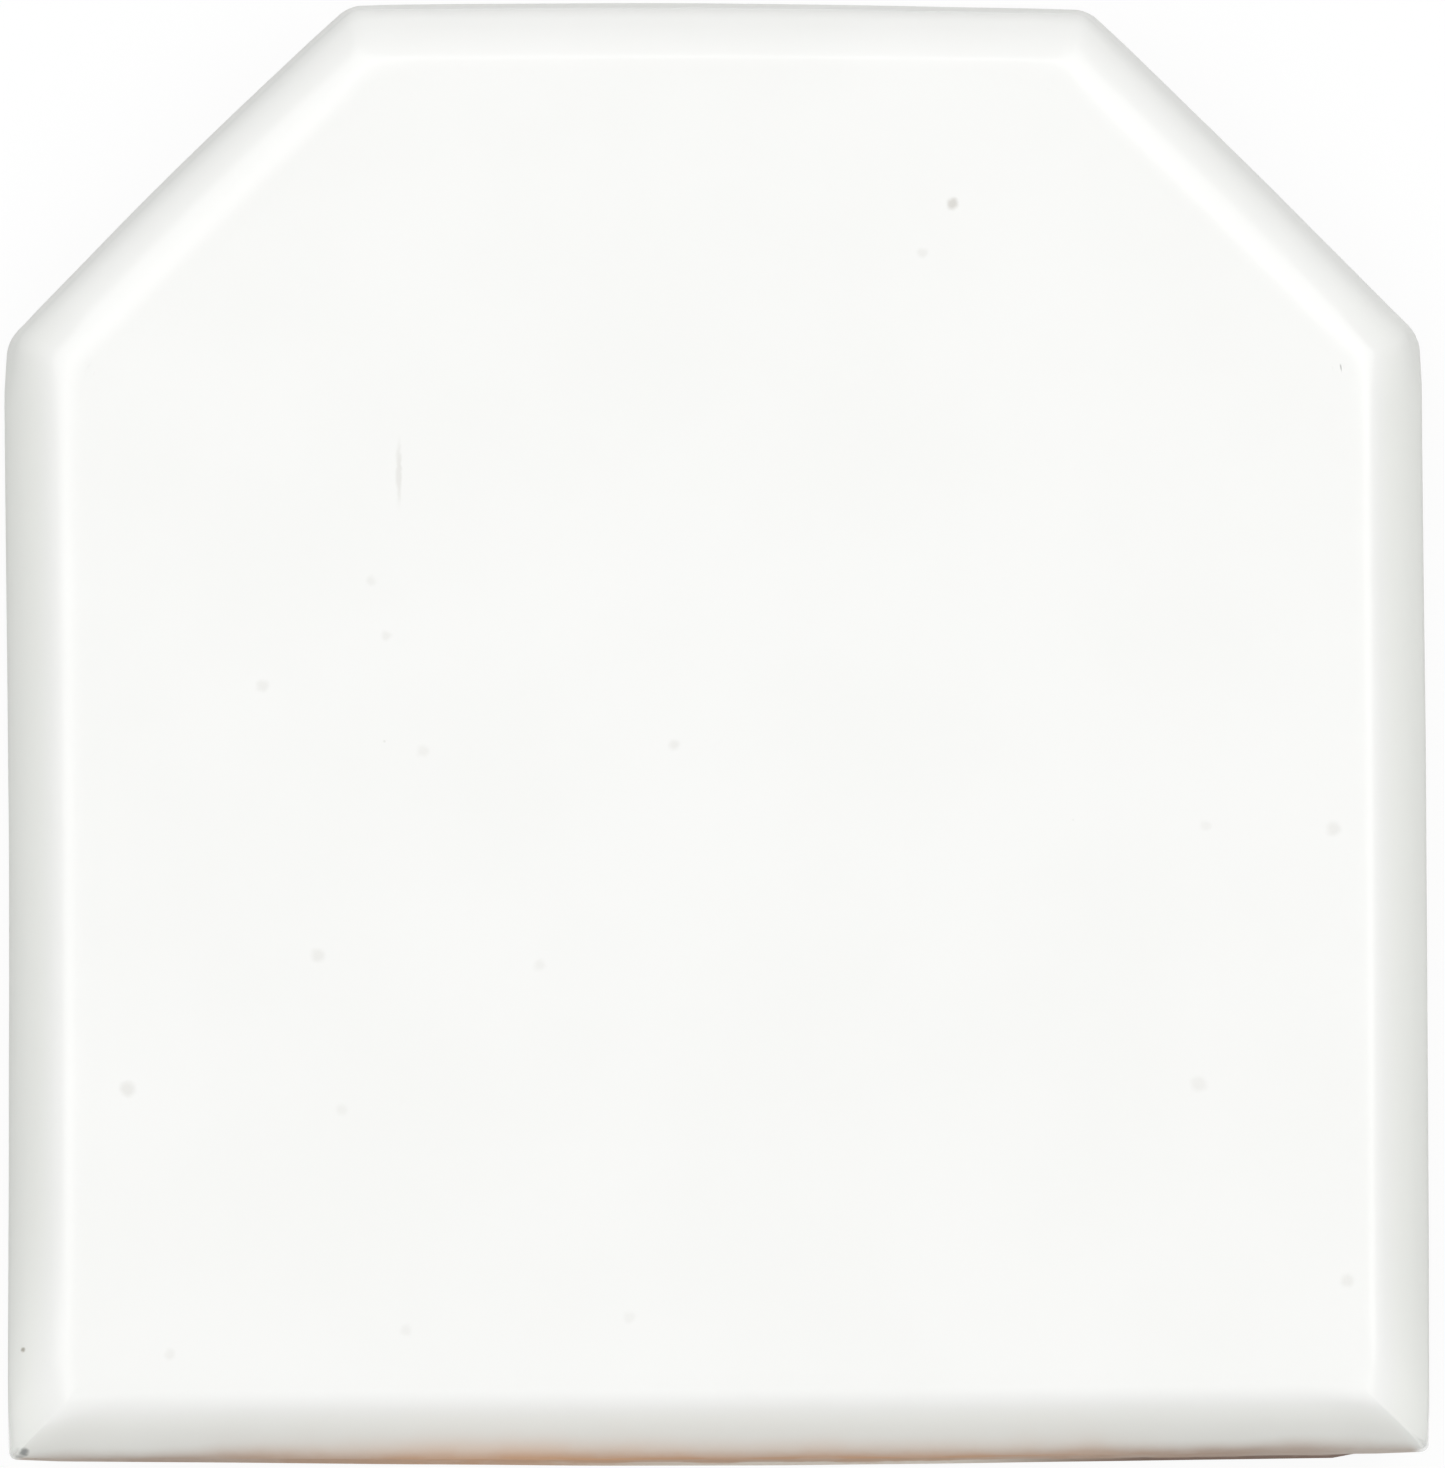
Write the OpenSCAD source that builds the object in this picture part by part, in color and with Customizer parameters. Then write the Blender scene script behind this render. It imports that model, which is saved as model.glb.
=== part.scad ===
// Raised pavement marker: a pressed and fired ceramic base under a white opaque glaze,
// on the adhesive pad that bonds it to the road.
// Millimetres, Z up. Y points to the end with the two clipped corners.
// The origin is the centre of the underside that lies on the road.

/* [Marker] */
// Width across the two long sides, over the glaze
marker_w = 100; // [80:0.1:130]
// Length from the straight end to the clipped end, over the glaze
marker_l = 102.7; // [80:0.1:130]
// Height of the fired ceramic, from the stud faces to the top of the glaze
ceramic_h = 18; // [15:0.5:24]
// Run of each clipped corner along the width
clip_w = 23.8; // [12:0.1:34]
// Run of each clipped corner along the length
clip_l = 23.5; // [12:0.1:34]
// Radius of the two upright corners of the straight end, over the glaze
corner_r = 2; // [1.2:0.1:4]
// Radius of the four upright corners of the clipped end, over the glaze
clip_corner_r = 4.6; // [3:0.1:8]

/* [Edges] */
// Draft of the side walls from upright, for release from the press die, in degrees
wall_draft = 3; // [1:0.5:8]
// Width of the bevel along the ends and the long sides, seen from above
bevel_w = 3.1; // [2.4:0.1:3.3]
// Drop of that bevel from the top face to the side wall
bevel_h = 3.4; // [2.4:0.1:3.6]
// Width of the bevel along the clipped corners, seen from above
clip_bevel_w = 3.5; // [3.3:0.1:6]
// Drop of that bevel from the top face to the side wall
clip_bevel_h = 3.8; // [3.7:0.1:6]
// How far a pillowed bevel turns from its foot to the top face, in degrees
bevel_turn = 34; // [10:2:40]

/* [Glaze] */
// Thickness of the fired glaze
glaze_t = 0.6; // [0.3:0.1:0.9]
// Height of the lip of the glaze above the stud faces, below which the clay is bare
foot_h = 4; // [3:0.5:6]
// Height of the upright band of wall from the lip to where the draft starts
lip_band = 1; // [0.5:0.1:2]
// Chamfer along the lip of the glaze
lip_chamfer = 0.25; // [0.05:0.05:0.25]

/* [Underside] */
// Diameter of the flat face of a stud
stud_d = 4.8; // [3:0.2:6]
// Height of a stud below the underside
stud_h = 1.3; // [0.8:0.1:2]
// Taper of the side of a stud from upright, in degrees
stud_taper = 12; // [0:1:15]
// Distance between the rows of studs, and between the studs of a row
stud_pitch = 9; // [8:0.5:14]
// Least distance from the outline to the middle of a stud
stud_margin = 8; // [7:0.5:14]
// Chamfer round the foot of the clay
foot_chamfer = 0.6; // [0.2:0.1:1]

/* [Adhesive pad] */
// Thickness of the pad between the underside of the clay and the road
pad_t = 3.2; // [2.6:0.2:6]
// Distance from the foot of the clay in to the edge of the pad
pad_inset = 2; // [1:0.5:3]
// Radius of the upright corners of the pad
pad_corner_r = 4; // [2:0.5:8]
// Radius of the upper and lower edges of the pad
pad_edge_r = 0.9; // [0.3:0.1:1.2]
// Clearance between a stud and the socket that it presses into the pad
socket_gap = 0.1; // [0.05:0.05:0.3]

/* [Hidden] */
$fn = 96;

// Half sizes, and a length that reaches past the marker from any side
half_w = marker_w / 2;
half_l = marker_l / 2;
reach = 2 * (marker_w + marker_l);

// How far the corner rounds stand outside the walls that they run into, to meet them at an angle
corner_relief = 0.05;

// Heights above the road: stud faces, underside of the clay, lip of the glaze, start of the draft, top
stud_z = pad_t - stud_h;
underside_z = pad_t;
lip_z = stud_z + foot_h;
draft_z = lip_z + lip_band;
top_z = stud_z + ceramic_h;

// A bevel in section, as an arc over a chord of [width, drop], placed by [distance in, height]
function bevel_r(chord) = norm(chord) / 2 / sin(bevel_turn / 2);
function bevel_foot(chord) = [wall_u(top_z - chord.y, 0), top_z - chord.y];
function bevel_centre(chord) =
    bevel_foot(chord) + chord / 2
    + [chord.y, -chord.x] / norm(chord) * bevel_r(chord) * cos(bevel_turn / 2);

// Plan outline over the glaze at its upright band, anticlockwise from the straight end
OUTLINE = [
    [-half_w, -half_l],
    [half_w, -half_l],
    [half_w, half_l - clip_l],
    [half_w - clip_w, half_l],
    [clip_w - half_w, half_l],
    [-half_w, half_l - clip_l]
];
// Each side of the outline as [direction of its outward normal, distance from the origin]
SIDES = [for (i = [0 : len(OUTLINE) - 1]) side_of(OUTLINE[i], OUTLINE[(i + 1) % len(OUTLINE)])];
CLIPS = [SIDES[2], SIDES[4]];
STRAIGHTS = [SIDES[0], SIDES[1], SIDES[3], SIDES[5]];
CORNER_RADII = [corner_r, corner_r, clip_corner_r, clip_corner_r, clip_corner_r, clip_corner_r];

function unit(v) = v / norm(v);
function side_of(a, b) =
    let (along = unit(b - a), out = [along.y, -along.x])
    [atan2(out.y, out.x), out * a];

// Corner where two neighbouring sides meet once both have moved in by t
function meet(a, b, t) =
    let (da = a[1] - t, db = b[1] - t)
    [da * sin(b[0]) - db * sin(a[0]), db * cos(a[0]) - da * cos(b[0])] / sin(b[0] - a[0]);
function inset_outline(t) =
    [for (i = [0 : len(SIDES) - 1]) meet(SIDES[(i + len(SIDES) - 1) % len(SIDES)], SIDES[i], t)];

// Distance in from the outline of the drafted wall at height z, t under the face of the glaze
function wall_u(z, t) = (z - draft_z) * tan(wall_draft) + t / cos(wall_draft);

// Middles of the studs: a square grid, kept where it stays clear of the outline
function inside(p, margin) =
    min([for (s = SIDES) s[1] - p * [cos(s[0]), sin(s[0])]]) >= margin;
stud_steps_x = floor((marker_w - 2 * stud_margin) / stud_pitch);
stud_steps_y = floor((marker_l - 2 * stud_margin) / stud_pitch);
STUDS = [
    for (i = [0 : stud_steps_x], j = [0 : stud_steps_y])
        let (p = [i - stud_steps_x / 2, j - stud_steps_y / 2] * stud_pitch)
        if (inside(p, stud_margin)) p
];

// What lies outside the round of each upright corner of the outline moved in by t.
// A round starts a little outside the walls, so that it meets them at an angle.
module corner_cuts(t, radii) {
    start = corner_relief / 2;
    tips = inset_outline(t - start);
    n = len(tips);
    linear_extrude(height = reach, center = true)
        for (i = [0 : n - 1])
            corner_cut(tips[i], tips[(i + n - 1) % n], tips[(i + 1) % n], radii[i] + start, start);
}

// One such cut in plan: the tip of a corner, less a circle that stands past both sides by start
module corner_cut(tip, before, after, r, start) {
    back = unit(before - tip);
    ahead = unit(after - tip);
    half = acos(back * ahead) / 2;
    run = r / tan(half);
    difference() {
        polygon([tip + back * run, tip, tip + ahead * run]);
        translate(tip + unit(back + ahead) * r / sin(half)) circle(r + start);
    }
}

// Runs a section along each of the sides and keeps what lies inside them all, so the corners mitre.
// The section's X is the distance in from the outline, and its Y is the height.
module mitred(sides) {
    intersection_for (s = sides)
        rotate(s[0] + 180)
            translate([-s[1], 0, 0])
                rotate([90, 0, 0])
                    linear_extrude(height = reach, center = true)
                        children();
}

// Section of the wall and its pillowed bevel, t under the face of the glaze, from height z up,
// with a chamfer along the lower edge
module edge_section(t, z, chamfer, bevel) {
    difference() {
        polygon([
            [reach, z],
            [reach, top_z - t],
            [wall_u(top_z - t, t), top_z - t],
            [t, draft_z - t * tan(wall_draft / 2)],
            [t, z + chamfer],
            [t + chamfer, z]
        ]);
        difference() {
            translate(bevel_centre(bevel) - [reach, 0]) square(reach);
            translate(bevel_centre(bevel)) circle(bevel_r(bevel) - t);
        }
    }
}

// The pressed form, t under the face of the glaze, from height z up
module pressed_form(t, z, chamfer) {
    difference() {
        intersection() {
            mitred(STRAIGHTS) edge_section(t, z, chamfer, [bevel_w, bevel_h]);
            mitred(CLIPS) edge_section(t, z, chamfer, [clip_bevel_w, clip_bevel_h]);
        }
        corner_cuts(t, [for (r = CORNER_RADII) r - t]);
    }
}

// Rows of studs up to height z, or of their sockets with a gap added all round
module studs(z, gap = 0) {
    face_r = stud_d / 2 + gap;
    h = z - stud_z;
    for (p = STUDS)
        translate([p.x, p.y, stud_z])
            cylinder(r1 = face_r, r2 = face_r + h * tan(stud_taper), h = h);
}

// Fired clay: the pressed block, bare at its foot, with rows of round studs under it
module ceramic_base() {
    color("tan") {
        pressed_form(glaze_t, underside_z, foot_chamfer);
        studs(underside_z + stud_h);
    }
}

// Fired glaze: an even coat over the top, bevels and walls, down to its lip
module white_glaze() {
    color("whitesmoke")
        difference() {
            pressed_form(0, lip_z, lip_chamfer);
            pressed_form(glaze_t, underside_z, foot_chamfer);
        }
}

// Section of the pad, with its upper and lower edges rounded
module pad_section(edge_u) {
    translate([edge_u, pad_edge_r]) square([reach, pad_t - 2 * pad_edge_r]);
    translate([edge_u + pad_edge_r, 0]) square([reach, pad_t]);
    for (z = [pad_edge_r, pad_t - pad_edge_r])
        translate([edge_u + pad_edge_r, z]) circle(pad_edge_r);
}

// Adhesive: a slab that fills the space between the studs and lies on the road
module adhesive_pad() {
    edge_u = glaze_t + pad_inset;
    color("dimgray")
        difference() {
            mitred(SIDES) pad_section(edge_u);
            corner_cuts(edge_u, [for (s = SIDES) pad_corner_r]);
            studs(pad_t, socket_gap);
        }
}

ceramic_base();
white_glaze();
adhesive_pad();
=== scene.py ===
# Raised pavement marker: white glaze over a fired clay block, on its adhesive pad
import math
import bmesh
import bpy
from mathutils import Matrix, Vector, noise


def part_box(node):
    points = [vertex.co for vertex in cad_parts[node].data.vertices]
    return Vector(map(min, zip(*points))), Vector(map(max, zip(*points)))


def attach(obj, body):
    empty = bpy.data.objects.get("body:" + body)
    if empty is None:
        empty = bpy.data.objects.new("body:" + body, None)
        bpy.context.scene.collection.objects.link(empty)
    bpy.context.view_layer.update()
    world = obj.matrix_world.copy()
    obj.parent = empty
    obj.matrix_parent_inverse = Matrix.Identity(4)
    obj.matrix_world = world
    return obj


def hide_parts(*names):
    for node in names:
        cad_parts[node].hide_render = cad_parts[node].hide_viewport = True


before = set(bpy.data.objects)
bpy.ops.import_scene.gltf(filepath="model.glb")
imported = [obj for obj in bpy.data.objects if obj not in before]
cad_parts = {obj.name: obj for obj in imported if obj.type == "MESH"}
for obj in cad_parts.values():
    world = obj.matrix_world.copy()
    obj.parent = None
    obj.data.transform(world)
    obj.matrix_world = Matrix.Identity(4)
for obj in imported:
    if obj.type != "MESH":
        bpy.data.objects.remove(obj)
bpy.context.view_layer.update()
mm = 0.001
near = 0.01  # mm, for finding edges by their height
glazeLow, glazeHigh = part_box("white_glaze")
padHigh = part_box("adhesive_pad")[1]

# plan of the marker, in mm: outline corners anticlockwise from the straight end
plan = {"halfWidth": glazeHigh.x / mm, "halfLength": glazeHigh.y / mm,
        "clipWidth": 23.8, "clipLength": 23.5}


def outlineCorners(p):
    w, l = p["halfWidth"], p["halfLength"]
    return [Vector((-w, -l)), Vector((w, -l)), Vector((w, l - p["clipLength"])),
            Vector((w - p["clipWidth"], l)), Vector((p["clipWidth"] - w, l)),
            Vector((-w, l - p["clipLength"]))]


corners = outlineCorners(plan)
sideNames = ["front", "right", "backRight", "back", "backLeft", "left"]


def outlineSides():
    sides = {}
    for i, name in enumerate(sideNames):
        start, end = corners[i], corners[(i + 1) % len(corners)]
        along = (end - start).normalized()
        sides[name] = {"start": start, "along": along, "length": (end - start).length,
                       "out": Vector((along.y, -along.x))}
    return sides


sides = outlineSides()


def ease(low, high, value):
    t = min(max((value - low) / (high - low), 0), 1)
    return t * t * (3 - 2 * t)


# camera: almost straight down, leaning a little to the straight end
shot = {"tilt": 1.9, "roll": 0.23, "distance": 2480, "aim": (0.52, -0.1, 10), "heightSeen": 103.3,
        "sensor": 36, "nearest": 100, "farthest": 20000}


def addCamera(s):
    data = bpy.data.cameras.new("camera")
    data.sensor_width = s["sensor"]
    data.lens = s["sensor"] * s["distance"] / s["heightSeen"]
    data.clip_start = s["nearest"] * mm
    data.clip_end = s["farthest"] * mm
    camera = bpy.data.objects.new("camera", data)
    bpy.context.scene.collection.objects.link(camera)
    tilt = math.radians(s["tilt"])
    back = Vector((0, -math.sin(tilt), math.cos(tilt)))
    camera.location = (Vector(s["aim"]) + back * s["distance"]) * mm
    turn = Matrix.Rotation(tilt, 4, "X") @ Matrix.Rotation(math.radians(-s["roll"]), 4, "Z")
    camera.rotation_euler = turn.to_euler()
    bpy.context.scene.camera = camera
    bpy.context.scene.view_settings.view_transform = "Standard"


addCamera(shot)

# light: two soft boxes high at the left and right, a weak broad fill in front, an even room
softBoxes = {
    "softBoxLeft": {"size": 1.6, "distance": 2, "lean": 32, "turn": 144, "power": 17.6},
    "softBoxRight": {"size": 1.6, "distance": 2, "lean": 37, "turn": 36, "power": 19.2},
    "frontFill": {"size": 2, "distance": 2, "lean": 42, "turn": 270, "power": 13.3},
}
room = {"color": (0.88, 1.0, 0.95), "level": 0.225}


def addSoftBox(name, b):
    data = bpy.data.lights.new(name, "AREA")
    data.shape = "SQUARE"
    data.size = b["size"]
    data.energy = b["power"]
    lamp = bpy.data.objects.new(name, data)
    bpy.context.scene.collection.objects.link(lamp)
    lean, turn = math.radians(b["lean"]), math.radians(b["turn"])
    toward = Vector((math.sin(lean) * math.cos(turn), math.sin(lean) * math.sin(turn), math.cos(lean)))
    lamp.location = toward * b["distance"]
    lamp.rotation_euler = toward.to_track_quat("Z", "Y").to_euler()
    lamp.visible_camera = False


for boxName in softBoxes:
    addSoftBox(boxName, softBoxes[boxName])


def whiteRays(tree):  # 1 for rays that should meet a white backdrop
    path = tree.nodes.new("ShaderNodeLightPath")
    first = tree.nodes.new("ShaderNodeMath")
    first.operation = "MAXIMUM"
    second = tree.nodes.new("ShaderNodeMath")
    second.operation = "MAXIMUM"
    tree.links.new(path.outputs["Is Camera Ray"], first.inputs[0])
    tree.links.new(path.outputs["Is Glossy Ray"], first.inputs[1])
    tree.links.new(first.outputs[0], second.inputs[0])
    tree.links.new(path.outputs["Is Transmission Ray"], second.inputs[1])
    return second.outputs[0]


def addRoom(r):
    world = bpy.data.worlds.new("room")
    world.use_nodes = True
    bpy.context.scene.world = world
    tree = world.node_tree
    tree.nodes.clear()
    output = tree.nodes.new("ShaderNodeOutputWorld")
    mix = tree.nodes.new("ShaderNodeMixShader")
    light = tree.nodes.new("ShaderNodeBackground")
    light.inputs["Color"].default_value = (*r["color"], 1)
    light.inputs["Strength"].default_value = r["level"]
    white = tree.nodes.new("ShaderNodeBackground")
    white.inputs["Color"].default_value = (1, 1, 1, 1)
    tree.links.new(whiteRays(tree), mix.inputs[0])
    tree.links.new(light.outputs[0], mix.inputs[1])
    tree.links.new(white.outputs[0], mix.inputs[2])
    tree.links.new(mix.outputs[0], output.inputs["Surface"])


addRoom(room)

# floor: pale, white to the camera, with the marker's shadow kept
floorLook = {"size": 8, "below": 0.05, "color": (0.65, 0.65, 0.64), "seenColor": (0.97, 0.97, 0.97),
             "whiteShare": 0.93}


def addFloor(f):
    bpy.ops.object.select_all(action="DESELECT")
    bpy.ops.mesh.primitive_plane_add(size=f["size"], location=(0, 0, -f["below"] * mm))
    floor = bpy.context.object
    floor.name = "floor"
    material = bpy.data.materials.new("floorWhite")
    material.use_nodes = True
    tree = material.node_tree
    tree.nodes.clear()
    output = tree.nodes.new("ShaderNodeOutputMaterial")
    bounce = tree.nodes.new("ShaderNodeBsdfDiffuse")
    bounce.inputs["Color"].default_value = (*f["color"], 1)
    shaded = tree.nodes.new("ShaderNodeBsdfDiffuse")
    shaded.inputs["Color"].default_value = (*f["seenColor"], 1)
    white = tree.nodes.new("ShaderNodeEmission")
    seen = tree.nodes.new("ShaderNodeMixShader")
    seen.inputs[0].default_value = f["whiteShare"]
    tree.links.new(shaded.outputs[0], seen.inputs[1])
    tree.links.new(white.outputs[0], seen.inputs[2])
    mix = tree.nodes.new("ShaderNodeMixShader")
    tree.links.new(whiteRays(tree), mix.inputs[0])
    tree.links.new(bounce.outputs[0], mix.inputs[1])
    tree.links.new(seen.outputs[0], mix.inputs[2])
    tree.links.new(mix.outputs[0], output.inputs["Surface"])
    floor.data.materials.append(material)


addFloor(floorLook)
print("camera, light and floor made")


# modelling helpers
def startPiece(name):
    piece = bpy.context.object
    piece.name = name
    piece.data.name = name
    bpy.ops.object.mode_set(mode="EDIT")
    bpy.ops.mesh.select_mode(type="EDGE")
    return piece


def selectEdges(piece, test):
    bpy.ops.mesh.select_all(action="DESELECT")
    mesh = bmesh.from_edit_mesh(piece.data)
    for edge in mesh.edges:
        if test(edge):
            edge.select_set(True)
    mesh.select_flush_mode()
    bmesh.update_edit_mesh(piece.data)


def applyModifier(piece, kind, name, **settings):
    modifier = piece.modifiers.new(name, kind)
    for key, value in settings.items():
        setattr(modifier, key, value)
    bpy.context.view_layer.objects.active = piece
    bpy.ops.object.modifier_apply(modifier=name)


def addOutlineFace(insetBy, height):  # the plan outline as one face, corners clipped by two cuts
    bpy.ops.object.select_all(action="DESELECT")
    bpy.ops.mesh.primitive_plane_add(size=1, location=(0, 0, height * mm))
    wide, long = [2 * (plan[half] - insetBy) * mm for half in ("halfWidth", "halfLength")]
    bpy.ops.transform.resize(value=(wide, long, 1))
    bpy.ops.object.transform_apply(location=True, rotation=True, scale=True)
    bpy.ops.object.mode_set(mode="EDIT")
    for name in ("backLeft", "backRight"):
        side = sides[name]
        point = side["start"] - side["out"] * insetBy
        bpy.ops.mesh.select_all(action="SELECT")
        bpy.ops.mesh.bisect(plane_co=(point.x * mm, point.y * mm, 0), plane_no=(*side["out"], 0),
                            clear_outer=True)
    bpy.ops.object.mode_set(mode="OBJECT")


# pressed form: rings from the lowest edge to the flat face, then rounded corners and finer sides
form = {
    "bandTop": 6.9, "step": 0.11, "faceRings": (15, 11.5, 9, 7.2),
    # slope of each bevel in degrees, at distances in from the outline, flat from the last one on
    "insets": (0.25, 0.5, 0.8, 1.1, 1.6, 2.2, 2.8, 3.3, 3.8, 4.2, 4.6, 5.2, 6.0),
    "slopes": {"front": (82, 70, 57, 53, 50, 46.5, 41, 37.5, 33.5, 27.5, 19, 7, 0),
               "right": (71, 63, 61.5, 58.5, 53, 48, 42.5, 38, 26, 12, 6, 3, 0),
               "backRight": (84, 82, 77, 67, 50, 38, 32, 28, 24, 18, 10, 4, 0),
               "back": (86, 86, 85, 63, 42, 38.5, 32, 26, 20, 14.5, 3, 0.5, 0),
               "backLeft": (85, 85, 78, 62, 46, 36, 29.5, 25, 21.5, 17, 10, 4, 0),
               "left": (80, 68, 62, 58, 51, 46, 40, 33.5, 25, 18, 8, 3, 0)},
    # share of the fall left out at the two front corners, and how far that reaches
    "cornerLift": {"left": {"left": 0.5, "front": 0.12}, "right": {"right": 0.32, "front": 0.02}},
    "liftReach": {"left": 20, "right": 14},
    # corner rounding, and its share on the walls and at the top of the mitre
    "cornerRound": 2.0, "frontCorner": (0.3, 0.07), "backCorner": (0.45, 0.35), "roundSteps": 6,
    "mitreFoot": 13.5, "mitreTop": 16.5, "flatGap": 0.001, "longEdge": 14, "wallParts": (0.25, 0.5, 0.75, 1),
    # how far each side stands out of its straight line at its start, middle and end, and the front lip beyond
    "bow": {"front": (0, 0, -0.3), "right": (0.1, 0.1, -0.1), "backRight": (-0.2, 0, 0),
            "back": (-0.3, 0.2, 0.2), "backLeft": (-0.2, 0.1, -0.1), "left": (0, -0.2, 0)},
    "lipBow": (-0.6, -0.1, -0.2), "lipTop": 15, "bowDepth": 11,
    # how far it draws in at its two ends
    "tuck": {"front": (0.1, 0.1), "right": (0.06, 0.16), "backRight": (0.04, 0.08), "back": (0.06, 0.06),
             "backLeft": (0.1, 0.06), "left": (0.22, 0.05)},
    "tuckReach": 4, "cornerReach": 6, "mitreReach": 3, "wave": 0.03, "waveLength": 9,
}


def slopeAt(f, name, u):
    marks = list(zip(f["insets"], f["slopes"][name]))
    for (u0, s0), (u1, s1) in zip(marks, marks[1:]):
        if u0 <= u <= u1:
            return s0 + (s1 - s0) * (u - u0) / (u1 - u0)
    return 0


def bevelHeights(f, name):  # heights at even steps from the flat face out to the wall
    u, z = f["insets"][-1], glazeHigh.z / mm
    heights = [z]
    while u > f["insets"][0] + f["step"] / 2:
        z -= f["step"] * math.tan(math.radians(slopeAt(f, name, u - f["step"] / 2)))
        u -= f["step"]
        heights.append(z)
    return heights


bevels = {name: bevelHeights(form, name) for name in sideNames}
bevels["shared"] = [sum(level) / len(level) for level in zip(*bevels.values())]


def heightAt(f, name, u):
    heights = bevels[name]
    last = len(heights) - 1
    place = min(max((f["insets"][-1] - u) / f["step"], 0), last)
    i = min(int(place), last - 1)
    return heights[i] + (heights[i + 1] - heights[i]) * (place - i)


def formRings(f):  # (distance in, height) of each ring above the lip band
    crest, heights = f["insets"][-1], bevels["shared"]
    rings = [(wide, heights[0]) for wide in f["faceRings"]]
    rings += [(crest - i * f["step"], z) for i, z in enumerate(heights)]
    u, z = rings[-1]
    for part in f["wallParts"]:
        rings.append((u * (1 - part), z + (f["bandTop"] - z) * part))
    return rings[::-1]


def sideDistances(x, y):
    for name in sideNames:
        side = sides[name]
        offset = Vector((x, y)) - side["start"]
        yield name, -offset.dot(side["out"]), offset.dot(side["along"]) / side["length"]


def bowAt(values, t):  # smooth curve through evenly spaced values
    last = len(values) - 1
    place = min(max(t, 0), 1) * last
    i = min(int(place), last - 1)
    a, b, c, d = [values[min(max(i + k, 0), last)] for k in (-1, 0, 1, 2)]
    r = place - i
    return b + 0.5 * r * (c - a + r * (2 * a - 5 * b + 4 * c - d + r * (3 * b - a - 3 * c + d)))


def formShift(f, x, y, z):  # shift in mm that gives each side its own bow and bevel
    (nameA, inset, tA), (nameB, farther, tB) = sorted(sideDistances(x, y), key=lambda s: s[1])[:2]
    swell = noise.noise(Vector((x, y, z)) / f["waveLength"]) * f["wave"]
    inward = 1 - ease(0, f["bowDepth"], inset)
    pull = {}
    for name, t in ((nameA, tA), (nameB, tB)):
        fromEnd = min(t, 1 - t) * sides[name]["length"]
        tuck = f["tuck"][name][0 if t < 0.5 else 1] * (1 - ease(0, f["tuckReach"], fromEnd))
        pull[name] = (bowAt(f["bow"][name], t) + swell - tuck) * inward
        if name == "front":
            pull[name] += bowAt(f["lipBow"], t) * (1 - ease(f["bandTop"], f["lipTop"], z))

    # near a corner both sides keep their own distance
    outA, outB = sides[nameA]["out"], sides[nameB]["out"]
    share = 1 - ease(0, f["cornerReach"], farther - inset)
    lean = outA.dot(outB)
    base = 1 - lean * lean * share
    move = outA * (pull[nameA] - lean * share * pull[nameB]) / base
    move += outB * share * (pull[nameB] - lean * pull[nameA]) / base

    # each side's own heights, run out down the wall
    foot = bevels["shared"][-1]
    share = 1 - ease(0, f["mitreReach"], farther - inset)
    own = (heightAt(f, nameA, inset) + share * heightAt(f, nameB, inset)) / (1 + share)
    end = "left" if x < 0 else "right"
    lifts = [f["cornerLift"][end].get(name, 0) for name in (nameA, nameB)]
    fromCorner = math.hypot(plan["halfWidth"] - abs(x), plan["halfLength"] + y)
    lift = (lifts[0] + share * lifts[1]) / (1 + share) * (1 - ease(0, f["liftReach"][end], fromCorner))
    own += (glazeHigh.z / mm - own) * lift
    down = min(max((z - f["bandTop"]) / (foot - f["bandTop"]), 0), 1)
    return Vector((move.x, move.y, (own - heightAt(f, "shared", inset)) * down))


def pressForm(name, f, rings, cuts):
    addOutlineFace(*rings[0])
    piece = startPiece(name)
    bpy.ops.mesh.select_all(action="SELECT")
    for (u0, z0), (u1, z1) in zip(rings, rings[1:]):
        bpy.ops.mesh.inset(thickness=(u1 - u0) * mm, depth=(z1 - z0) * mm, use_boundary=True,
                           use_even_offset=True)
    bpy.ops.object.mode_set(mode="OBJECT")

    # corners: rounded walls that run out into crisp mitres in front and soft ones at the back
    mesh = piece.data
    weights = mesh.attributes.new("bevel_weight_edge", "FLOAT", "EDGE")
    high = rings[-1][1]
    for edge in mesh.edges:
        a, b = [mesh.vertices[i].co / mm for i in edge.vertices]
        if (a - b).length < f["longEdge"] and min(a.z, b.z) < high - f["flatGap"]:
            wall, top = f["frontCorner"] if a.y < 0 else f["backCorner"]
            upper = ease(f["mitreFoot"], f["mitreTop"], (a.z + b.z) / 2)
            weights.data[edge.index].value = wall + (top - wall) * upper
    applyModifier(piece, "BEVEL", "corners", width=f["cornerRound"] * mm, segments=f["roundSteps"],
                  limit_method="WEIGHT", offset_type="OFFSET", use_clamp_overlap=False, loop_slide=True)
    bpy.ops.object.mode_set(mode="EDIT")
    selectEdges(piece, lambda e: e.calc_length() > f["longEdge"] * mm)
    bpy.ops.mesh.subdivide(number_cuts=cuts)
    bpy.ops.object.mode_set(mode="OBJECT")
    return piece


# glaze: an even coat over the form, rolled at its wavy lip, thicker along the front lip up to a run end
glaze = {"thickness": 0.58, "lipBand": 0.5, "lipRoll": 0.3, "rollSteps": 3, "lipReach": 1.6,
         "lipWave": 0.3, "lipWaveLength": 7, "lipSeed": 3.7, "lipSag": 0.1, "cuts": 63, "smoothAngle": 50,
         "frontRoll": 0.3, "frontRollEnd": 44.4, "frontRollTaper": 0.5, "frontDepth": 2, "uprightRise": 0.3}


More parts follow.
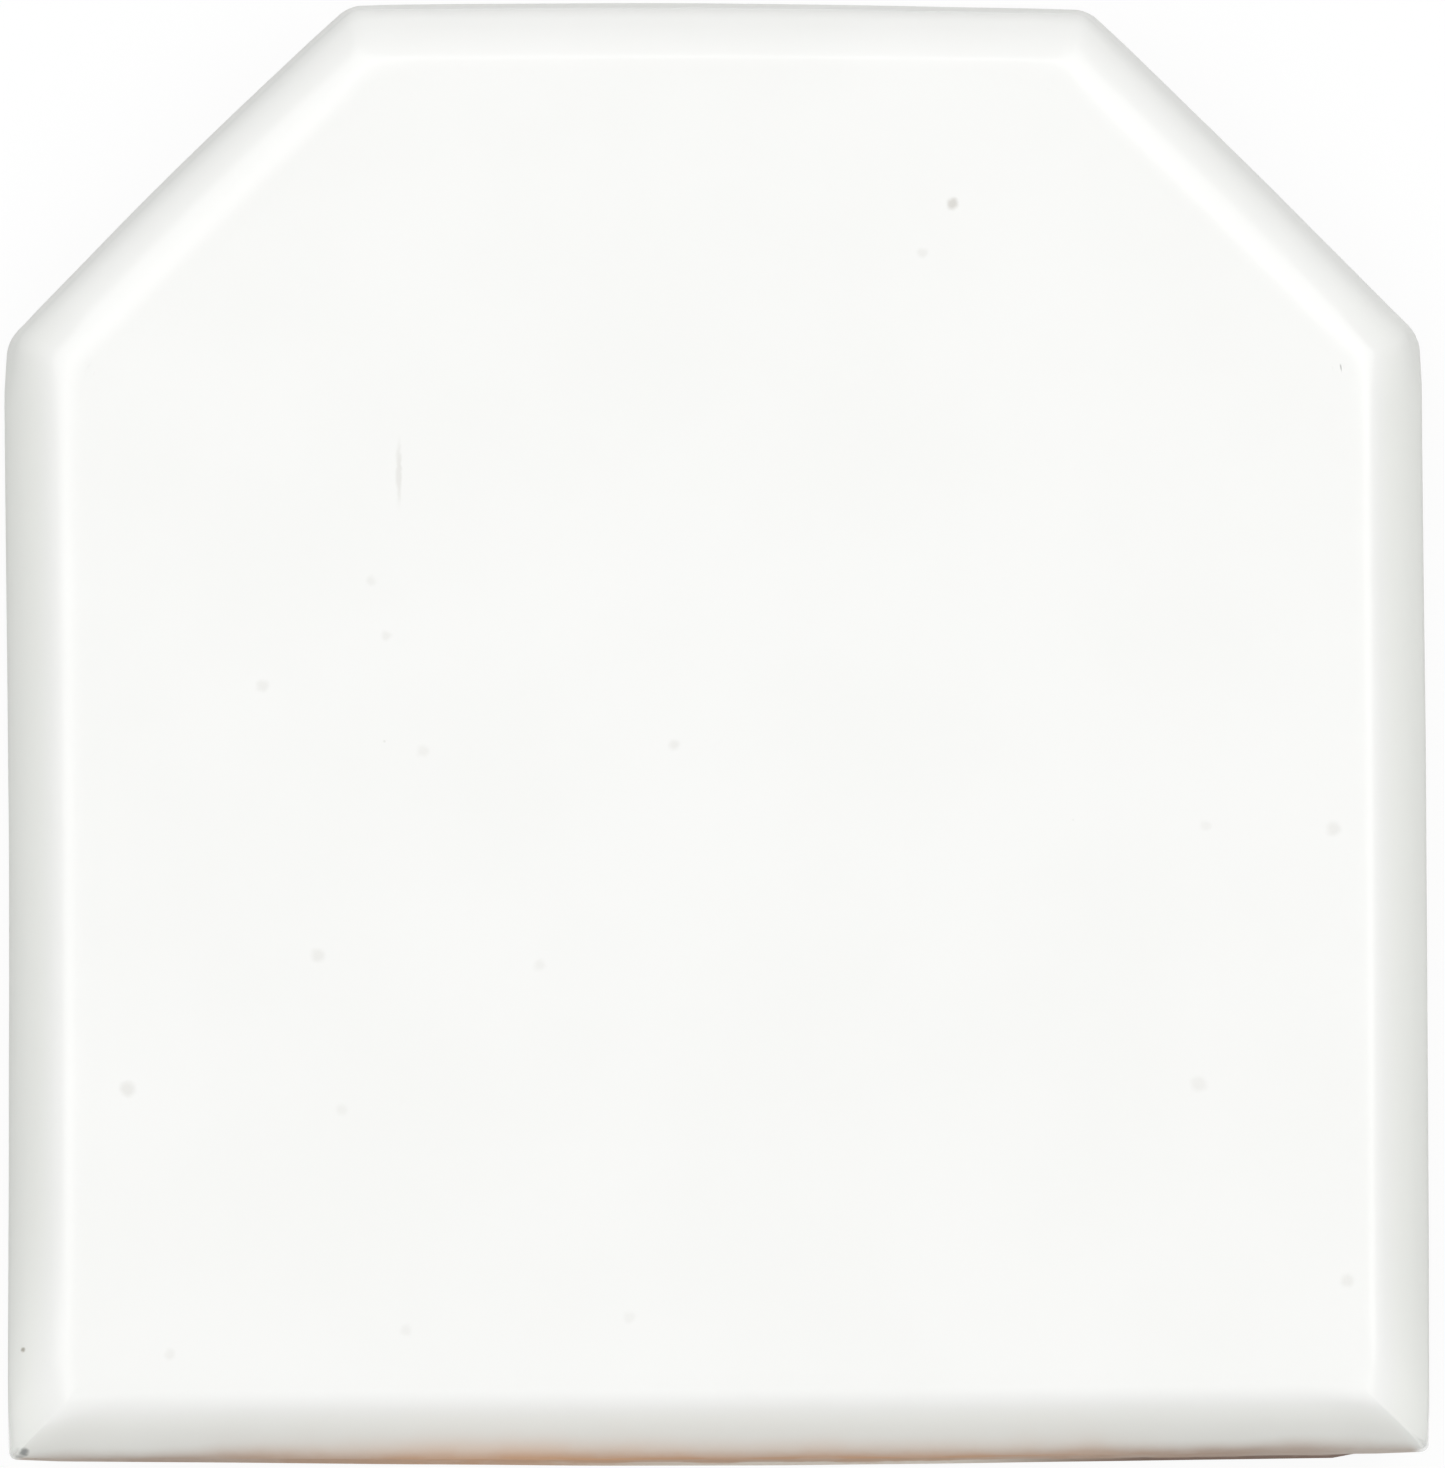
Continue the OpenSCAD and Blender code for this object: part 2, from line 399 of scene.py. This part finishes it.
def settleGlaze(g, co):
    x, y, z = co.x / mm, co.y / mm, co.z / mm
    move = formShift(form, x, y, z)
    low = glazeLow.z / mm
    nearLip = 1 - ease(low, low + g["lipReach"], z)
    lift = noise.noise(Vector((x, y, g["lipSeed"])) / g["lipWaveLength"]) * g["lipWave"]
    move.z += nearLip * max(lift, -g["lipSag"])
    if y < g["frontDepth"] - plan["halfLength"]:
        run = 1 - ease(g["frontRollEnd"] - g["frontRollTaper"], g["frontRollEnd"], x)
        move.y -= nearLip * run * g["frontRoll"]
    return co + move * mm


def isLipEdge(g, edge, low):  # outer edge of the coat's lowest rim
    if any(abs(v.co.z - low) > near * mm for v in edge.verts):
        return False
    walls = [f for f in edge.link_faces if abs(f.normal.z) < g["uprightRise"]]
    return any(f.normal.xy.dot(edge.verts[0].co.xy) > 0 for f in walls) and len(walls) < len(edge.link_faces)


def makeGlaze(g):
    low = glazeLow.z / mm
    piece = pressForm("glazeCoat", form, [(0, low), (0, low + g["lipBand"])] + formRings(form), g["cuts"])
    applyModifier(piece, "SOLIDIFY", "coat", thickness=g["thickness"] * mm, offset=-1)
    bpy.ops.object.mode_set(mode="EDIT")
    bpy.ops.mesh.select_mode(type="EDGE")
    selectEdges(piece, lambda e: isLipEdge(g, e, low * mm))
    bpy.ops.mesh.bevel(offset=g["lipRoll"] * mm, segments=g["rollSteps"], affect="EDGES")
    bpy.ops.object.mode_set(mode="OBJECT")
    for v in piece.data.vertices:
        v.co = settleGlaze(g, v.co)
    bpy.ops.object.shade_smooth_by_angle(angle=math.radians(g["smoothAngle"]))
    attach(piece, "root")
    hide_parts("white_glaze")
    return piece


glazePiece = makeGlaze(glaze)
print("glaze modelled:", len(glazePiece.data.polygons), "faces")

# clay block: the same form under the coat, down to a chamfered foot with rows of tapered studs
clay = {"coat": 0.6, "coatFull": (12.5, 15.5), "underside": 3.2, "footChamfer": 0.6, "chamferSteps": 2,
        "cuts": 23, "studRoot": 0.4, "smoothAngle": 35}
studs = {"face": 1.9, "faceRadius": 2.4, "taper": 12, "pitch": 9, "margin": 8, "rows": 10, "steps": 28}


def addStuds(name, s, top, grow):
    rise = top - s["face"]
    reach = s["pitch"] * (s["rows"] - 1) / 2
    face = s["faceRadius"] + grow
    root = face + rise * math.tan(math.radians(s["taper"]))
    first = (-reach * mm, -reach * mm, (s["face"] + rise / 2) * mm)
    bpy.ops.object.select_all(action="DESELECT")
    bpy.ops.mesh.primitive_cone_add(vertices=s["steps"], radius1=face * mm, radius2=root * mm,
                                    depth=rise * mm, location=first)
    bpy.ops.object.transform_apply(location=True, rotation=True, scale=True)
    piece = bpy.context.object
    piece.name = name
    for axis, label in ((0, "along"), (1, "across")):
        gap = [0, 0, 0]
        gap[axis] = s["pitch"] * mm
        applyModifier(piece, "ARRAY", label, count=s["rows"], use_relative_offset=False,
                      use_constant_offset=True, constant_offset_displace=gap)

    # no studs at the clipped corners
    bpy.ops.object.mode_set(mode="EDIT")
    bpy.ops.mesh.select_mode(type="VERT")
    bpy.ops.mesh.select_all(action="DESELECT")
    mesh = bmesh.from_edit_mesh(piece.data)
    for v in mesh.verts:
        x, y = [(round((c / mm + reach) / s["pitch"]) * s["pitch"] - reach) for c in (v.co.x, v.co.y)]
        v.select_set(min(inset for _, inset, _ in sideDistances(x, y)) < s["margin"])
    mesh.select_flush_mode()
    bmesh.update_edit_mesh(piece.data)
    bpy.ops.mesh.delete(type="VERT")
    bpy.ops.object.mode_set(mode="OBJECT")
    return piece


def makeClay(c):
    coat, under = c["coat"], c["underside"]
    rings = [(coat, under), (coat, glazeLow.z / mm)]
    rings += [(u + coat, z - coat * ease(*c["coatFull"], z)) for u, z in formRings(form)]
    piece = pressForm("clayBlock", form, rings, c["cuts"])
    bpy.ops.object.mode_set(mode="EDIT")
    selectEdges(piece, lambda e: e.is_boundary)
    bpy.ops.mesh.edge_face_add()
    selectEdges(piece, lambda e: all(abs(v.co.z - under * mm) < near * mm for v in e.verts))
    bpy.ops.mesh.bevel(offset=c["footChamfer"] * mm, segments=c["chamferSteps"], affect="EDGES")
    bpy.ops.object.mode_set(mode="OBJECT")
    for v in piece.data.vertices:
        v.co += formShift(form, *(v.co / mm)) * mm
    studPiece = addStuds("clayStuds", studs, under + c["studRoot"], 0)
    bpy.ops.object.select_all(action="DESELECT")
    studPiece.select_set(True)
    piece.select_set(True)
    bpy.context.view_layer.objects.active = piece
    bpy.ops.object.join()
    bpy.ops.object.shade_smooth_by_angle(angle=math.radians(c["smoothAngle"]))
    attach(piece, "root")
    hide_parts("ceramic_base")
    return piece


clayPiece = makeClay(clay)
print("clay modelled:", len(clayPiece.data.polygons), "faces")

# adhesive pad: a soft slab squeezed out a little at its edge, with a socket for every stud
pad = {"inset": 2.6, "cornerRound": 4, "roundSteps": 6, "edgeRound": 0.9, "edgeSteps": 4, "longEdge": 12,
       "cuts": 40, "squeeze": 0.35, "squeezeLength": 6, "squeezeSeed": 8.1, "squeezeReach": 1.5,
       "squeezeEnds": 0.4, "socketGap": 0.1, "socketRise": 0.4, "smoothAngle": 35}


def makePad(p):
    height = padHigh.z / mm
    addOutlineFace(p["inset"], 0)
    piece = startPiece("adhesivePad")
    bpy.ops.mesh.select_all(action="SELECT")
    bpy.ops.mesh.extrude_region_move(TRANSFORM_OT_translate={"value": (0, 0, height * mm)})
    selectEdges(piece, lambda e: abs(e.verts[0].co.z - e.verts[1].co.z) > mm)
    bpy.ops.mesh.bevel(offset=p["cornerRound"] * mm, segments=p["roundSteps"], affect="EDGES",
                       clamp_overlap=True)
    selectEdges(piece, lambda e: abs(e.verts[0].co.z - e.verts[1].co.z) < near * mm)
    bpy.ops.mesh.bevel(offset=p["edgeRound"] * mm, segments=p["edgeSteps"], affect="EDGES")
    selectEdges(piece, lambda e: e.calc_length() > p["longEdge"] * mm)
    bpy.ops.mesh.subdivide(number_cuts=p["cuts"])
    bpy.ops.mesh.select_all(action="SELECT")
    bpy.ops.mesh.normals_make_consistent(inside=False)
    bpy.ops.object.mode_set(mode="OBJECT")
    for v in piece.data.vertices:
        x, y, z = v.co / mm
        middle = 1 - abs(2 * z / height - 1) ** 2
        push = noise.noise(Vector((x, y, p["squeezeSeed"])) / p["squeezeLength"]) * p["squeeze"]
        push *= p["squeezeEnds"] + (1 - p["squeezeEnds"]) * middle
        for name, inset, _ in sideDistances(x, y):
            edge = 1 - ease(p["inset"], p["inset"] + p["squeezeReach"], inset)
            v.co += sides[name]["out"].to_3d() * edge * push * mm
    cutter = addStuds("socketCutter", studs, height + p["socketRise"], p["socketGap"])
    applyModifier(piece, "BOOLEAN", "sockets", object=cutter, operation="DIFFERENCE", solver="EXACT")
    bpy.data.objects.remove(cutter)
    bpy.ops.object.select_all(action="DESELECT")
    piece.select_set(True)
    bpy.ops.object.shade_smooth_by_angle(angle=math.radians(p["smoothAngle"]))
    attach(piece, "root")
    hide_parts("adhesive_pad")
    return piece


padPiece = makePad(pad)
print("pad modelled:", len(padPiece.data.polygons), "faces")


# shader helpers: positions are in mm in the object's own space
def feed(tree, node, inputs):  # links sockets and sets plain values
    for key, value in inputs.items():
        if isinstance(value, bpy.types.NodeSocket):
            tree.links.new(value, node.inputs[key])
        else:
            node.inputs[key].default_value = value


def put(tree, kind, inputs, **settings):
    node = tree.nodes.new("ShaderNode" + kind)
    for key, value in settings.items():
        setattr(node, key, value)
    feed(tree, node, inputs)
    return node


def mixColor(tree, factor, a, b):
    return put(tree, "Mix", {0: factor, 6: a, 7: b}, data_type="RGBA").outputs[2]


def ramp(tree, value, fromLow, fromHigh, toLow, toHigh, kind="SMOOTHSTEP"):
    node = put(tree, "MapRange", {"Value": value, "From Min": fromLow, "From Max": fromHigh, "To Min": toLow,
                                  "To Max": toHigh}, interpolation_type=kind)
    return node.outputs[0]


def calc(tree, operation, a, b):
    return put(tree, "Math", {0: a, 1: b}, operation=operation).outputs[0]


def multiply(tree, first, *others):
    for other in others:
        first = calc(tree, "MULTIPLY", first, other)
    return first


def vectorCalc(tree, operation, a, b):
    return put(tree, "VectorMath", {0: a, 1: b}, operation=operation).outputs[0]


def newGroup(name, inputs, output):
    tree = bpy.data.node_groups.new(name, "ShaderNodeTree")
    for label, kind in inputs.items():
        tree.interface.new_socket(label, in_out="INPUT", socket_type="NodeSocket" + kind)
    tree.interface.new_socket(output[0], in_out="OUTPUT", socket_type="NodeSocket" + output[1])
    return tree, tree.nodes.new("NodeGroupInput").outputs, tree.nodes.new("NodeGroupOutput").inputs


def useGroup(tree, group, inputs):
    node = tree.nodes.new("ShaderNodeGroup")
    node.node_tree = group
    feed(tree, node, inputs)
    return node.outputs[0]


# part of the noise that fills the range from 0 to 1, and the solid middle of a speck and a mark
patterns = {"noiseSpan": (0.3, 0.7), "speckMiddle": 0.4, "spotMiddle": 0.25}


def makeMottle(p):  # cloudy value from 0 to 1, a given size in mm
    tree, given, result = newGroup("mottle", {"Position": "Vector", "Size": "Float", "Detail": "Float"},
                                   ("Value", "Float"))
    scale = calc(tree, "DIVIDE", 1, given["Size"])
    cloud = put(tree, "TexNoise", {"Vector": given["Position"], "Scale": scale, "Detail": given["Detail"]})
    tree.links.new(ramp(tree, cloud.outputs[0], *p["noiseSpan"], 0, 1), result["Value"])
    return tree


def makeSpeckle(p):  # scattered round specks: spacing and largest radius in mm, share of the places with one
    tree, given, result = newGroup("speckle", {"Position": "Vector", "Spacing": "Float", "Radius": "Float",
                                               "Share": "Float"}, ("Mask", "Float"))
    scale = calc(tree, "DIVIDE", 1, given["Spacing"])
    cells = put(tree, "TexVoronoi", {"Vector": given["Position"], "Scale": scale}, feature="F1")
    pick = put(tree, "SeparateColor", {"Color": cells.outputs["Color"]}).outputs
    chosen = calc(tree, "LESS_THAN", pick[0], given["Share"])
    away = multiply(tree, cells.outputs["Distance"], given["Spacing"])
    radius = multiply(tree, given["Radius"], pick[1])
    inside = ramp(tree, away, multiply(tree, radius, p["speckMiddle"]), radius, 1, 0)
    tree.links.new(multiply(tree, inside, chosen), result["Mask"])
    return tree


def makeSpot(p):  # one mark at a place: stretch shrinks it along an axis
    tree, given, result = newGroup("spot", {"Position": "Vector", "Center": "Vector", "Stretch": "Vector",
                                            "Radius": "Float", "Strength": "Float"}, ("Mask", "Float"))
    offset = vectorCalc(tree, "SUBTRACT", given["Position"], given["Center"])
    scaled = vectorCalc(tree, "MULTIPLY", offset, given["Stretch"])
    away = put(tree, "VectorMath", {0: scaled}, operation="LENGTH").outputs["Value"]
    inside = ramp(tree, away, multiply(tree, given["Radius"], p["spotMiddle"]), given["Radius"], 1, 0)
    tree.links.new(multiply(tree, inside, given["Strength"]), result["Mask"])
    return tree


mottle, speckle, spot = makeMottle(patterns), makeSpeckle(patterns), makeSpot(patterns)


def newMaterial(name):
    material = bpy.data.materials.new(name)
    material.use_nodes = True
    tree = material.node_tree
    coords = tree.nodes.new("ShaderNodeTexCoord")
    perMm = (1 / mm, 1 / mm, 1 / mm)
    position = put(tree, "Mapping", {"Vector": coords.outputs["Object"], "Scale": perMm}).outputs[0]
    return material, tree, tree.nodes["Principled BSDF"], position


def clouds(tree, position, look, name):
    return useGroup(tree, mottle, {"Position": position, "Size": look[name + "Size"],
                                   "Detail": look[name + "Detail"]})


def addBump(tree, shader, height, look):
    bump = put(tree, "Bump", {"Height": height, "Strength": look["bumpStrength"],
                              "Distance": look["bumpHeight"] * mm})
    tree.links.new(bump.outputs[0], shader.inputs["Normal"])


# glaze look: opaque white under a clear gloss, thin and brown with clay showing through on the front wall
# besides colours, four numbers are a ramp: two places in mm, or two values, and what they give
glazeLook = {
    "white": (0.925, 0.904, 0.897, 1), "cloud": (0.912, 0.892, 0.883, 1), "cloudSize": 16, "cloudDetail": 3,
    # painted warm reflection: a warmer white on the lower bevels and walls toward the front
    "paintedWarmth": (0.922, 0.906, 0.882, 1), "paintedWarmthHeight": (18.4, 19.6, 1, 0), "paintedWarmthLength": (20, 34, 1, 0),
    # thin glaze: where it lies, how it fades upwards, and its drips
    "thinTint": (0.82, 0.47, 0.285, 1), "thinGrey": (0.56, 0.405, 0.33, 1),
    "wallTint": (0.56, 0.42, 0.345, 1),
    "frontDepth": (5, 2, 0, 1), "mitre": (-0.4, 0.8, 0, 1), "wallHeight": (8, 11.5, 0.45, 0),
    "streakSize": 22, "streakDetail": 4, "streakWarmth": (0, 1, 1, 0.6), "streakRise": (0, 1, -0.35, 0.35),
    "middleLeft": (-42, -18, 0, 1), "middleRight": (15, 38, 1, 0),
    "bareMiddle": (14.4, 18.0, 0.74, 0), "bareEnds": (15.1, 17.1, 0.68, 0), "veil": (12, 21, 0.26, 0),
    "endLeft": (-50, -38, 0.75, 1), "endRight": (36, 48, 1, 0.75),
    "dripStretch": (1, 1, 0.8), "dripSize": 3.5, "dripDetail": 6, "dripShare": (0, 1, 0.9, 1.04),
    # lip: a pale band painted as light on the top of its bead, and a dark band painted as shade under its
    # edge
    "lipPaintedLight": (0.92, 0.82, 0.74, 1), "lipPaintedShade": (0.27, 0.18, 0.145, 1),
    "lipHeight": (6.7, 7.8, 1, 0), "lipRagged": (0, 1, -0.35, 0.35),
    "litBeadLeft": (-18, 2, 0, 1), "litBeadRight": (16, 33, 1, 0), "litBeadShare": 0.95,
    # painted shade under the lip's edge, where it curls under
    "shadedEdgeLeft": (14, 32, 0, 1), "shadedEdgeRight": (44, 45, 1, 0), "shadedEdgeShare": 0.95,
    # gloss, and the fine unevenness of the surface
    "roughness": 0.6, "glossRoughness": 0.18, "glossIor": 1.5, "glossHeight": (15.2, 18.2, 0.2, 0.7),
    "glossCorner": (1, 7, 1, 0), "pastMitre": (-0.4, 0.8, 1, 0), "glossThin": (0, 1, 1, 0.3),
    "peelScale": 0.45, "bumpStrength": 0.3, "bumpHeight": 0.03,
    # pinholes anywhere, and the wobble of every mark's edge
    "holes": {"Spacing": 6, "Radius": 0.14, "Share": 0.25}, "holeShare": 0.5, "holeDepth": -0.6,
    "pinhole": (0.72, 0.71, 0.68, 1), "wobbleScale": 1.6, "wobble": 0.35,
    "speck": (0.42, 0.38, 0.33, 1), "chipAndPaintedShadow": (0.16, 0.165, 0.17, 1),
    # specks seen on the flat face: place in mm, radius and strength
    "faceMarks": (
        (16.83, 36.70, 0.56, 0.45), (-31.7, 3.06, 0.6, 0.14), (-27.9, -15.84, 0.7, 0.15),
        (-41.27, -25.14, 0.75, 0.2), (-26.25, -26.66, 0.6, 0.09), (-12.36, -16.58, 0.6, 0.1),
        (44.14, -38.92, 0.7, 0.14), (43.32, -7.24, 0.7, 0.15), (34.35, -6.99, 0.5, 0.09),
        (33.78, -25.12, 0.8, 0.12), (-2.88, -1.17, 0.55, 0.15), (-20.5, -1.53, 0.6, 0.1),
        (14.66, 33.27, 0.55, 0.13), (-24.09, 10.4, 0.5, 0.1), (-23.05, 6.56, 0.5, 0.12),
        (-6.18, -41.27, 0.6, 0.08), (-21.81, -42.12, 0.55, 0.09), (-38.37, -43.75, 0.55, 0.1),
    ),
    # hairline, edge pinholes, corner chip and a painted shadow beside the chip: place in mm, radius,
    # strength, stretch and shade
    "otherMarks": (
        ((-22.1, 18.0, 19.9), 2.9, 0.2, (10, 1, 1), "speck"),
        ((-48.68, -43.4, 18.1), 0.25, 0.9, (1, 1, 0.3), "speck"),
        ((-49.85, 17.3, 14.6), 0.3, 0.6, (1, 1, 0.5), "speck"),
        ((-48.65, -50.54, 17.4), 0.42, 0.75, (1, 1, 0.25), "chipAndPaintedShadow"),
        # painted shadow beside the corner chip, in the chip's dark grey
        ((-49.0, -50.95, 16.5), 0.42, 0.45, (1, 1, 0.25), "chipAndPaintedShadow"),
    ),
}


def glazeMarks(look):
    flat = glazeHigh.z / mm
    for x, y, radius, strength in look["faceMarks"]:
        yield (x, y, flat), radius, strength, (1, 1, 1), "speck"
    yield from look["otherMarks"]


def makeGlazeMaterial(look):
    material, tree, shader, position = newMaterial("whiteGlaze")
    x, y, z = put(tree, "SeparateXYZ", {"Vector": position}).outputs
    cloud = clouds(tree, position, look, "cloud")
    color = mixColor(tree, cloud, look["white"], look["cloud"])
    # painted warm reflection on the lower bevels and walls, fading out at the crest and toward the back
    paintedWarmth = multiply(tree, ramp(tree, z, *look["paintedWarmthHeight"]), ramp(tree, y, *look["paintedWarmthLength"]))
    color = mixColor(tree, paintedWarmth, color, look["paintedWarmth"])

    # the front side, up to the mitres of its two corners
    fromSide = calc(tree, "SUBTRACT", plan["halfWidth"], calc(tree, "ABSOLUTE", x, 0))
    fromFront = calc(tree, "ADD", y, plan["halfLength"])
    apart = calc(tree, "SUBTRACT", fromSide, fromFront)
    front = multiply(tree, ramp(tree, fromFront, *look["frontDepth"]), ramp(tree, apart, *look["mitre"]))

    # thin glaze on the front wall, warmer and higher in the middle
    streak = clouds(tree, position, look, "streak")
    middle = multiply(tree, ramp(tree, x, *look["middleLeft"]), ramp(tree, x, *look["middleRight"]))
    warm = multiply(tree, middle, ramp(tree, streak, *look["streakWarmth"]))
    tint = mixColor(tree, warm, look["thinGrey"], look["thinTint"])
    tint = mixColor(tree, ramp(tree, z, *look["wallHeight"]), tint, look["wallTint"])
    height = calc(tree, "ADD", z, ramp(tree, streak, *look["streakRise"]))
    bare = put(tree, "Mix", {0: middle, 2: ramp(tree, height, *look["bareEnds"]),
                             3: ramp(tree, height, *look["bareMiddle"])}).outputs[0]
    low = calc(tree, "ADD", bare, ramp(tree, height, *look["veil"], kind="LINEAR"))
    ends = multiply(tree, ramp(tree, x, *look["endLeft"]), ramp(tree, x, *look["endRight"]))
    drawn = vectorCalc(tree, "MULTIPLY", position, look["dripStretch"])
    drips = clouds(tree, drawn, look, "drip")
    thin = multiply(tree, low, front, ends, ramp(tree, drips, *look["dripShare"]))
    color = mixColor(tree, thin, color, tint)

    # its lip: light painted on the bead in the middle, shade painted under the edge up to the end of the run
    ragged = calc(tree, "ADD", z, ramp(tree, drips, *look["lipRagged"]))
    lip = multiply(tree, front, ramp(tree, ragged, *look["lipHeight"]))
    # painted light: the pale band stands for light falling on the top of the lip's bead
    litBead = multiply(tree, lip, ramp(tree, x, *look["litBeadLeft"]), ramp(tree, x, *look["litBeadRight"]))
    # painted shade: this dark band stands for the shadow under the curled edge of the lip
    edge = multiply(tree, lip, ramp(tree, x, *look["shadedEdgeLeft"]), ramp(tree, x, *look["shadedEdgeRight"]))
    color = mixColor(tree, multiply(tree, litBead, look["litBeadShare"]), color, look["lipPaintedLight"])
    color = mixColor(tree, multiply(tree, edge, look["shadedEdgeShare"]), color, look["lipPaintedShade"])

    # marks seen on it, and faint pinholes anywhere
    uneven = put(tree, "TexNoise", {"Vector": position, "Scale": look["wobbleScale"]}).outputs["Color"]
    centred = vectorCalc(tree, "ADD", uneven, (-0.5, -0.5, -0.5))  # noise about 0
    wobble = put(tree, "VectorMath", {0: centred, "Scale": look["wobble"]}, operation="SCALE").outputs[0]
    around = vectorCalc(tree, "ADD", position, wobble)
    for center, radius, strength, stretch, shade in glazeMarks(look):
        mask = useGroup(tree, spot, {"Position": around, "Center": center, "Stretch": stretch,
                                     "Radius": radius, "Strength": strength})
        color = mixColor(tree, mask, color, look[shade])
    holes = useGroup(tree, speckle, {"Position": position, **look["holes"]})
    color = mixColor(tree, multiply(tree, holes, look["holeShare"]), color, look["pinhole"])
    tree.links.new(color, shader.inputs["Base Color"])

    # gloss, weaker on the walls and where the glaze is thin
    besideMitre = ramp(tree, apart, *look["pastMitre"])
    corner = multiply(tree, ramp(tree, fromFront, *look["glossCorner"]), besideMitre)
    wall = calc(tree, "MAXIMUM", ramp(tree, z, *look["glossHeight"]), corner)
    gloss = multiply(tree, wall, ramp(tree, thin, *look["glossThin"]))
    tree.links.new(gloss, shader.inputs["Coat Weight"])
    shader.inputs["Coat Roughness"].default_value = look["glossRoughness"]
    shader.inputs["Coat IOR"].default_value = look["glossIor"]
    shader.inputs["Specular IOR Level"].default_value = 0
    shader.inputs["Roughness"].default_value = look["roughness"]
    peel = put(tree, "TexNoise", {"Vector": position, "Scale": look["peelScale"]}).outputs[0]
    dip = calc(tree, "ADD", peel, multiply(tree, holes, look["holeDepth"]))
    addBump(tree, shader, dip, look)
    return material


# clay look: buff fired body with dark grains and open pores
clayLook = {
    "buff": (0.55, 0.37, 0.25, 1), "red": (0.42, 0.24, 0.15, 1), "cloudSize": 9, "cloudDetail": 6,
    "grog": (0.66, 0.52, 0.40, 1), "grogShare": 0.5,
    "grogSpots": {"Spacing": 1.1, "Radius": 0.4, "Share": 0.5},
    "grain": (0.16, 0.10, 0.07, 1), "grainShare": 0.8,
    "grainSpots": {"Spacing": 1.7, "Radius": 0.35, "Share": 0.4}, "roughness": (0, 1, 0.8, 0.95),
    "roughScale": 2.5, "roughDetail": 5, "poreDepth": -0.7, "bumpStrength": 0.6, "bumpHeight": 0.25,
}


def makeClayMaterial(look):
    material, tree, shader, position = newMaterial("firedClay")
    cloud = clouds(tree, position, look, "cloud")
    color = mixColor(tree, cloud, look["buff"], look["red"])
    grog = useGroup(tree, speckle, {"Position": position, **look["grogSpots"]})
    color = mixColor(tree, multiply(tree, grog, look["grogShare"]), color, look["grog"])
    grains = useGroup(tree, speckle, {"Position": position, **look["grainSpots"]})
    color = mixColor(tree, multiply(tree, grains, look["grainShare"]), color, look["grain"])
    tree.links.new(color, shader.inputs["Base Color"])
    tree.links.new(ramp(tree, cloud, *look["roughness"]), shader.inputs["Roughness"])
    rough = put(tree, "TexNoise", {"Vector": position, "Scale": look["roughScale"],
                                   "Detail": look["roughDetail"]}).outputs[0]
    pores = calc(tree, "ADD", rough, multiply(tree, grains, look["poreDepth"]))
    addBump(tree, shader, pores, look)
    return material


# pad look: black butyl, dull with soft waves and a little dust
padLook = {
    "black": (0.018, 0.018, 0.019, 1), "worn": (0.045, 0.044, 0.042, 1), "cloudSize": 5, "cloudDetail": 5,
    "dust": (0.30, 0.28, 0.25, 1), "dustShare": 0.4,
    "dustSpots": {"Spacing": 1.4, "Radius": 0.16, "Share": 0.35},
    "roughness": (0, 1, 0.42, 0.7), "waveScale": 0.7, "waveDetail": 4, "bumpStrength": 0.5, "bumpHeight": 0.3,
}


def makePadMaterial(look):
    material, tree, shader, position = newMaterial("butylPad")
    cloud = clouds(tree, position, look, "cloud")
    color = mixColor(tree, cloud, look["black"], look["worn"])
    dust = useGroup(tree, speckle, {"Position": position, **look["dustSpots"]})
    color = mixColor(tree, multiply(tree, dust, look["dustShare"]), color, look["dust"])
    tree.links.new(color, shader.inputs["Base Color"])
    tree.links.new(ramp(tree, cloud, *look["roughness"]), shader.inputs["Roughness"])
    waves = put(tree, "TexNoise", {"Vector": position, "Scale": look["waveScale"],
                                   "Detail": look["waveDetail"]}).outputs[0]
    addBump(tree, shader, waves, look)
    return material


glazePiece.data.materials.append(makeGlazeMaterial(glazeLook))
clayPiece.data.materials.append(makeClayMaterial(clayLook))
padPiece.data.materials.append(makePadMaterial(padLook))
print("materials made")
